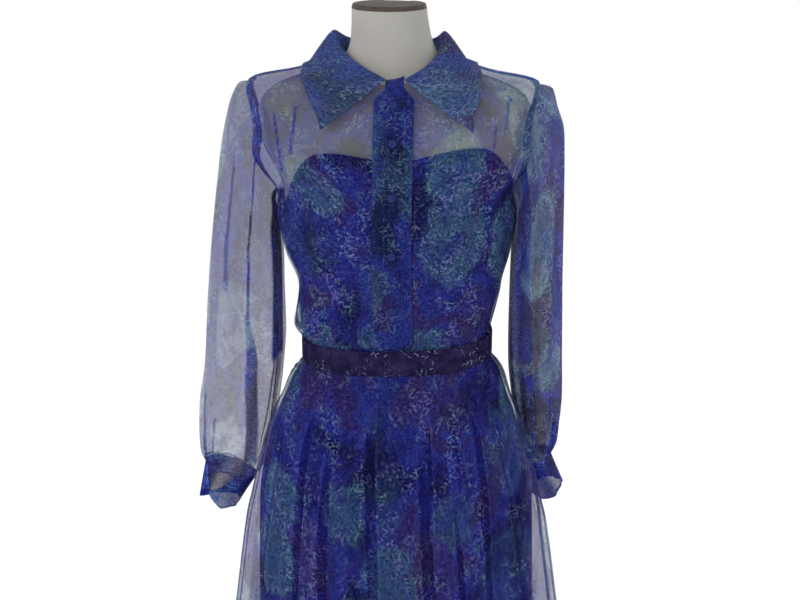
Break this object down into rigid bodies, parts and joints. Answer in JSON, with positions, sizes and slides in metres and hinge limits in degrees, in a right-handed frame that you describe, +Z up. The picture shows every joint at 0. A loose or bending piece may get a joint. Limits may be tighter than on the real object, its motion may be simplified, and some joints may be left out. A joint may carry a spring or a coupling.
{
  "type": "cocktail dress on a dress form",
  "caption": "Sheer printed chiffon shirt-dress with a pointed collar, full sleeves and belt over an opaque strapless lining, on a limbless dress form with a round stand.",
  "frame": {"origin": "centre of the stand's underside, on the floor", "axes": "+Z up along the form, the dress's front faces -Y, +X is to the right seen from the front"},
  "size_m": [0.5365, 0.3988, 1.5023],
  "materials": {
    "form": "fine pale jersey cover",
    "cap": "satin",
    "stand": "satin",
    "chiffon": "sheer printed chiffon",
    "doubled_chiffon": "doubled printed chiffon",
    "covered_button": "cloth-covered",
    "belt": "matt grosgrain",
    "lining": "opaque matt lining"
  },
  "bodies": {
    "root": {"form_torso": "form", "neck_cap": "cap", "stand_base": "stand", "stand_pole": "stand", "bodice_front_left": "chiffon", "bodice_front_right": "chiffon", "bodice_back": "chiffon", "placket": "doubled_chiffon", "button_1": "covered_button", "button_2": "covered_button", "button_3": "covered_button", "button_4": "covered_button", "button_5": "covered_button", "collar": "doubled_chiffon", "belt": "belt", "skirt_front": "chiffon", "skirt_back": "chiffon", "skirt_lining_front": "lining", "skirt_lining_back": "lining", "bodice_lining_front": "lining", "bodice_lining_back": "lining", "sleeve_left": "chiffon", "cuff_left": "doubled_chiffon", "sleeve_right": "chiffon", "cuff_right": "doubled_chiffon"}
  },
  "joints": []
}
